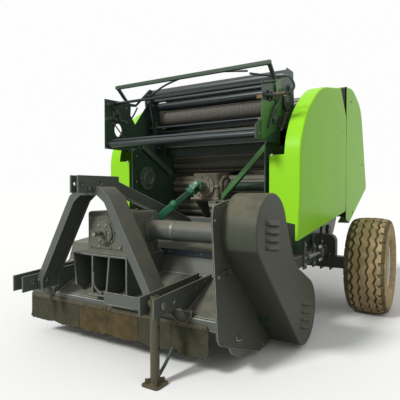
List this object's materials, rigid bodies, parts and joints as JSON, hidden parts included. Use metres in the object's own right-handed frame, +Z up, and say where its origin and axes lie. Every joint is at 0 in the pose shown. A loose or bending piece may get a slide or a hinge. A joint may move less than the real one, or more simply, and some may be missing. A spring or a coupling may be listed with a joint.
{
  "type": "round baler with flail pick-up header",
  "caption": "Hitch-mounted round baler: flail header in front, ribbed-roll bale chamber behind, lime side covers, lifting tail, two wheels and a parking leg.",
  "frame": {"origin": "on the ground, midway between the tyres' outer faces and midway between the link plates' front ends and the tail covers' rear edge", "axes": "+Z up, -Y towards the hitch, +X to the machine's left as it travels"},
  "size_m": [2.566, 3.34, 2.14],
  "materials": {
    "lime": "semi-gloss paint",
    "frame_green": "satin paint under field dust",
    "dark_green": "dark satin paint, dusty",
    "mid_green": "satin paint",
    "dusty_casting": "dusty casting",
    "worn_steel": "worn and dusty",
    "rim_paint": "pale satin paint, dusty",
    "net_wrap": "wound netting",
    "bright_rod": "polished rod",
    "tyre_rubber": "dusty rubber",
    "flap_rubber": "dusty rubber sheet"
  },
  "bodies": {
    "machine": {"axle_beam": "frame_green", "side_rails": "frame_green", "header_hood": "frame_green", "front_beam": "frame_green", "hitch_ledge": "frame_green", "header_ends": "frame_green", "headstock_leg_left": "frame_green", "headstock_leg_right": "frame_green", "top_link_bracket": "frame_green", "rear_strut": "frame_green", "link_plates_left": "frame_green", "link_plates_right": "frame_green", "gearbox_stand": "frame_green", "cross_tube": "frame_green", "guard_plate": "frame_green", "belt_guard": "frame_green", "cover_brackets": "frame_green", "chamber_side_left": "dark_green", "chamber_side_right": "dark_green", "feed_floor": "dark_green", "bay_beam": "dark_green", "net_tubes": "dark_green", "top_rail": "dark_green", "net_plate_left": "dark_green", "net_plate_right": "mid_green", "drive_shaft": "mid_green", "main_gearbox": "dusty_casting", "header_gearbox": "dusty_casting", "net_rolls": "net_wrap", "rubber_curtain": "flap_rubber"},
    "wheel_left": {"tyre_left": "tyre_rubber", "rim_left": "rim_paint"},
    "wheel_right": {"tyre_right": "tyre_rubber", "rim_right": "rim_paint"},
    "flail_rotor": {"flail_rotor": "worn_steel"},
    "tail": {"tail_side_left": "dark_green", "tail_side_right": "dark_green", "tail_tubes": "dark_green", "tail_cover_left": "lime", "tail_cover_right": "lime"},
    "barrels": {"barrels": "dark_green"},
    "rods": {"rods": "bright_rod"},
    "front_cover_left": {"front_cover_left": "lime"},
    "front_cover_right": {"front_cover_right": "lime"},
    "parking_leg": {"parking_leg": "frame_green"},
    "front_roll_1": {"front_roll_1": "worn_steel"},
    "front_roll_2": {"front_roll_2": "worn_steel"},
    "front_roll_3": {"front_roll_3": "worn_steel"},
    "front_roll_4": {"front_roll_4": "worn_steel"},
    "front_roll_5": {"front_roll_5": "worn_steel"},
    "front_roll_6": {"front_roll_6": "worn_steel"},
    "front_roll_7": {"front_roll_7": "worn_steel"},
    "tail_roll_1": {"tail_roll_1": "worn_steel"},
    "tail_roll_2": {"tail_roll_2": "worn_steel"},
    "tail_roll_3": {"tail_roll_3": "worn_steel"},
    "tail_roll_4": {"tail_roll_4": "worn_steel"},
    "tail_roll_5": {"tail_roll_5": "worn_steel"},
    "tail_roll_6": {"tail_roll_6": "worn_steel"},
    "tail_roll_7": {"tail_roll_7": "worn_steel"},
    "tail_roll_8": {"tail_roll_8": "worn_steel"}
  },
  "joints": [
    {"name": "wheel_left_spin", "type": "hinge", "parent": "machine", "child": "wheel_left", "pos_m": [1.108, 0.65, 0.435], "axis": [1, 0, 0], "continuous": true},
    {"name": "wheel_right_spin", "type": "hinge", "parent": "machine", "child": "wheel_right", "pos_m": [-1.108, 0.65, 0.435], "axis": [1, 0, 0], "continuous": true},
    {"name": "flail_rotor_spin", "type": "hinge", "parent": "machine", "child": "flail_rotor", "pos_m": [-0.265, -0.81, 0.32], "axis": [1, 0, 0], "continuous": true},
    {"name": "tail_lift", "type": "hinge", "parent": "machine", "child": "tail", "pos_m": [0, 0.57, 1.98], "axis": [1, 0, 0], "range_deg": [0, 65]},
    {"name": "cylinder_swing", "type": "hinge", "parent": "machine", "child": "barrels", "pos_m": [0, 0.49, 1.1], "axis": [1, 0, 0], "range_deg": [0, 6]},
    {"name": "cylinder_stroke", "type": "slide", "parent": "barrels", "child": "rods", "axis": [0, 0.3757, 0.9267], "range_m": [0, 0.27]},
    {"name": "front_cover_left_door", "type": "hinge", "parent": "machine", "child": "front_cover_left", "pos_m": [0.86, 0.63, 1.4], "axis": [0, 0, 1], "range_deg": [0, 95]},
    {"name": "front_cover_right_door", "type": "hinge", "parent": "machine", "child": "front_cover_right", "pos_m": [-0.86, 0.63, 1.4], "axis": [0, 0, -1], "range_deg": [0, 95]},
    {"name": "parking_leg_fold", "type": "hinge", "parent": "machine", "child": "parking_leg", "pos_m": [0.311, -1.59, 0.469], "axis": [-1, 0, 0], "range_deg": [0, 90]},
    {"name": "front_roll_1_spin", "type": "hinge", "parent": "machine", "child": "front_roll_1", "pos_m": [0, 0.40927, 1.9052], "axis": [1, 0, 0], "continuous": true},
    {"name": "front_roll_2_spin", "type": "hinge", "parent": "machine", "child": "front_roll_2", "pos_m": [0, 0.21076, 1.79059], "axis": [1, 0, 0], "continuous": true},
    {"name": "front_roll_3_spin", "type": "hinge", "parent": "machine", "child": "front_roll_3", "pos_m": [0, 0.06342, 1.615], "axis": [1, 0, 0], "continuous": true},
    {"name": "front_roll_4_spin", "type": "hinge", "parent": "machine", "child": "front_roll_4", "pos_m": [0, -0.01497, 1.39961], "axis": [1, 0, 0], "continuous": true},
    {"name": "front_roll_5_spin", "type": "hinge", "parent": "machine", "child": "front_roll_5", "pos_m": [0, -0.01497, 1.17039], "axis": [1, 0, 0], "continuous": true},
    {"name": "front_roll_6_spin", "type": "hinge", "parent": "machine", "child": "front_roll_6", "pos_m": [0, 0.06342, 0.955], "axis": [1, 0, 0], "continuous": true},
    {"name": "front_roll_7_spin", "type": "hinge", "parent": "machine", "child": "front_roll_7", "pos_m": [0, 0.40927, 0.6648], "axis": [1, 0, 0], "continuous": true},
    {"name": "tail_roll_1_spin", "type": "hinge", "parent": "tail", "child": "tail_roll_1", "pos_m": [0, 0.74961, 1.93497], "axis": [1, 0, 0], "continuous": true},
    {"name": "tail_roll_2_spin", "type": "hinge", "parent": "tail", "child": "tail_roll_2", "pos_m": [0, 0.965, 1.85658], "axis": [1, 0, 0], "continuous": true},
    {"name": "tail_roll_3_spin", "type": "hinge", "parent": "tail", "child": "tail_roll_3", "pos_m": [0, 1.14059, 1.70924], "axis": [1, 0, 0], "continuous": true},
    {"name": "tail_roll_4_spin", "type": "hinge", "parent": "tail", "child": "tail_roll_4", "pos_m": [0, 1.2552, 1.51073], "axis": [1, 0, 0], "continuous": true},
    {"name": "tail_roll_5_spin", "type": "hinge", "parent": "tail", "child": "tail_roll_5", "pos_m": [0, 1.295, 1.285], "axis": [1, 0, 0], "continuous": true},
    {"name": "tail_roll_6_spin", "type": "hinge", "parent": "tail", "child": "tail_roll_6", "pos_m": [0, 1.2552, 1.05927], "axis": [1, 0, 0], "continuous": true},
    {"name": "tail_roll_7_spin", "type": "hinge", "parent": "tail", "child": "tail_roll_7", "pos_m": [0, 1.14059, 0.86076], "axis": [1, 0, 0], "continuous": true},
    {"name": "tail_roll_8_spin", "type": "hinge", "parent": "tail", "child": "tail_roll_8", "pos_m": [0, 0.965, 0.71342], "axis": [1, 0, 0], "continuous": true}
  ],
  "couplings": [
    {"joint": "cylinder_swing", "follows": "tail_lift", "ratio": 0.088},
    {"joint": "cylinder_stroke", "follows": "tail_lift", "m_per_rad": 0.2335},
    {"joint": "front_roll_2_spin", "follows": "front_roll_1_spin", "ratio": 1},
    {"joint": "front_roll_3_spin", "follows": "front_roll_1_spin", "ratio": 1},
    {"joint": "front_roll_4_spin", "follows": "front_roll_1_spin", "ratio": 1},
    {"joint": "front_roll_5_spin", "follows": "front_roll_1_spin", "ratio": 1},
    {"joint": "front_roll_6_spin", "follows": "front_roll_1_spin", "ratio": 1},
    {"joint": "front_roll_7_spin", "follows": "front_roll_1_spin", "ratio": 1},
    {"joint": "tail_roll_1_spin", "follows": "front_roll_1_spin", "ratio": 1},
    {"joint": "tail_roll_2_spin", "follows": "front_roll_1_spin", "ratio": 1},
    {"joint": "tail_roll_3_spin", "follows": "front_roll_1_spin", "ratio": 1},
    {"joint": "tail_roll_4_spin", "follows": "front_roll_1_spin", "ratio": 1},
    {"joint": "tail_roll_5_spin", "follows": "front_roll_1_spin", "ratio": 1},
    {"joint": "tail_roll_6_spin", "follows": "front_roll_1_spin", "ratio": 1},
    {"joint": "tail_roll_7_spin", "follows": "front_roll_1_spin", "ratio": 1},
    {"joint": "tail_roll_8_spin", "follows": "front_roll_1_spin", "ratio": 1}
  ]
}
